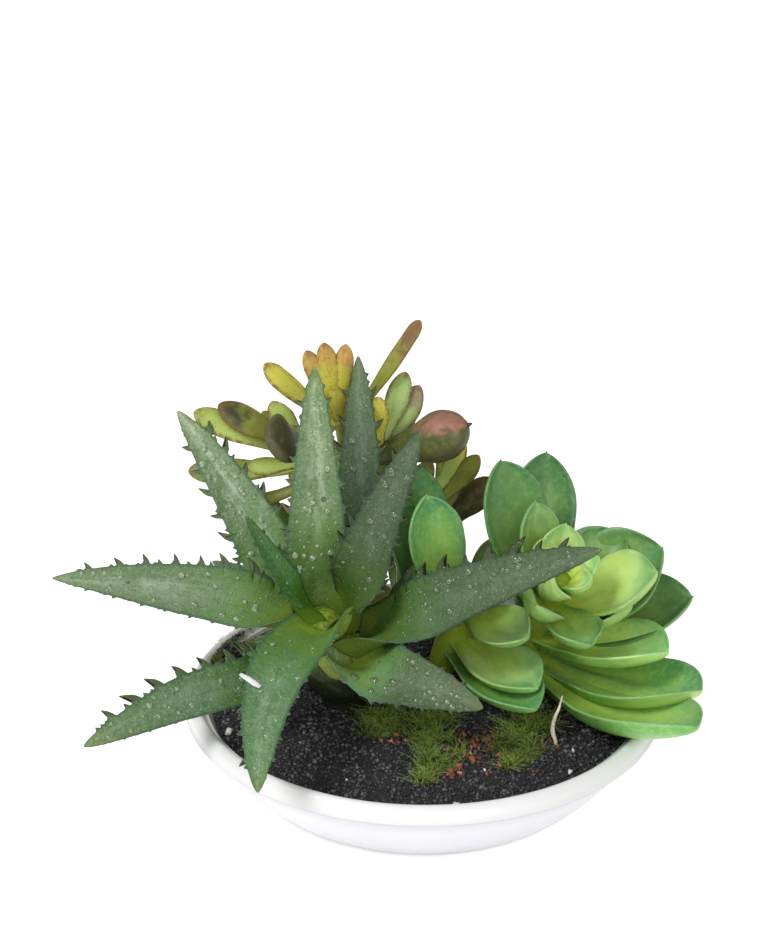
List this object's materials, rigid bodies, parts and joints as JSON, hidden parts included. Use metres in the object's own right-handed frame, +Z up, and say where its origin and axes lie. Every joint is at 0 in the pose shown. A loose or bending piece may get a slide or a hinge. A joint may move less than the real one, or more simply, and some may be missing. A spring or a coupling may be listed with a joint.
{
  "type": "succulent dish garden",
  "caption": "Shallow white bowl of dark soil planted with a toothed aloe, cupped echeveria rosettes, stems of fat finger leaves and low tufts of moss.",
  "frame": {"origin": "centre of the bowl's flat foot, in the plane it stands on", "axes": "+Z up; +X to the right of the garden seen from its front, along its longest side; the front, with the open soil, faces -Y"},
  "size_m": [0.2561, 0.2007, 0.1714],
  "materials": {
    "white_glaze": "smooth white glaze",
    "dark_soil": "matte black gritty soil",
    "aloe_sheath": "satin yellow-green leaf sheaths",
    "aloe_leaf": "satin grey-green skin",
    "echeveria_right_leaf": "satin blue-green to lime skin",
    "echeveria_left_leaf": "satin blue-green to lime skin",
    "jade_left_leaf": "satin olive and yellow skin",
    "jade_top_leaf": "satin olive and yellow skin",
    "jade_middle_leaf": "satin olive and yellow skin",
    "jade_right_leaf": "satin olive and yellow skin",
    "moss": "matte bright green threads",
    "pale_twig": "matte cream bark"
  },
  "bodies": {
    "root": {"bowl": "white_glaze", "soil": "dark_soil", "aloe_stem": "aloe_sheath", "aloe_leaf_left": "aloe_leaf", "aloe_leaf_low_left": "aloe_leaf", "aloe_leaf_front": "aloe_leaf", "aloe_leaf_low_right": "aloe_leaf", "aloe_leaf_right": "aloe_leaf", "aloe_leaf_upper_right": "aloe_leaf", "aloe_leaf_top": "aloe_leaf", "aloe_leaf_top_back": "aloe_leaf", "aloe_leaf_upper_left": "aloe_leaf", "aloe_leaf_inner": "aloe_leaf", "aloe_leaf_back": "aloe_leaf", "echeveria_right": "echeveria_right_leaf", "echeveria_left": "echeveria_left_leaf", "jade_left": "jade_left_leaf", "jade_top": "jade_top_leaf", "jade_middle": "jade_middle_leaf", "jade_right": "jade_right_leaf", "moss_1": "moss", "moss_2": "moss", "moss_3": "moss", "moss_4": "moss", "moss_5": "moss", "twig": "pale_twig"}
  },
  "joints": []
}
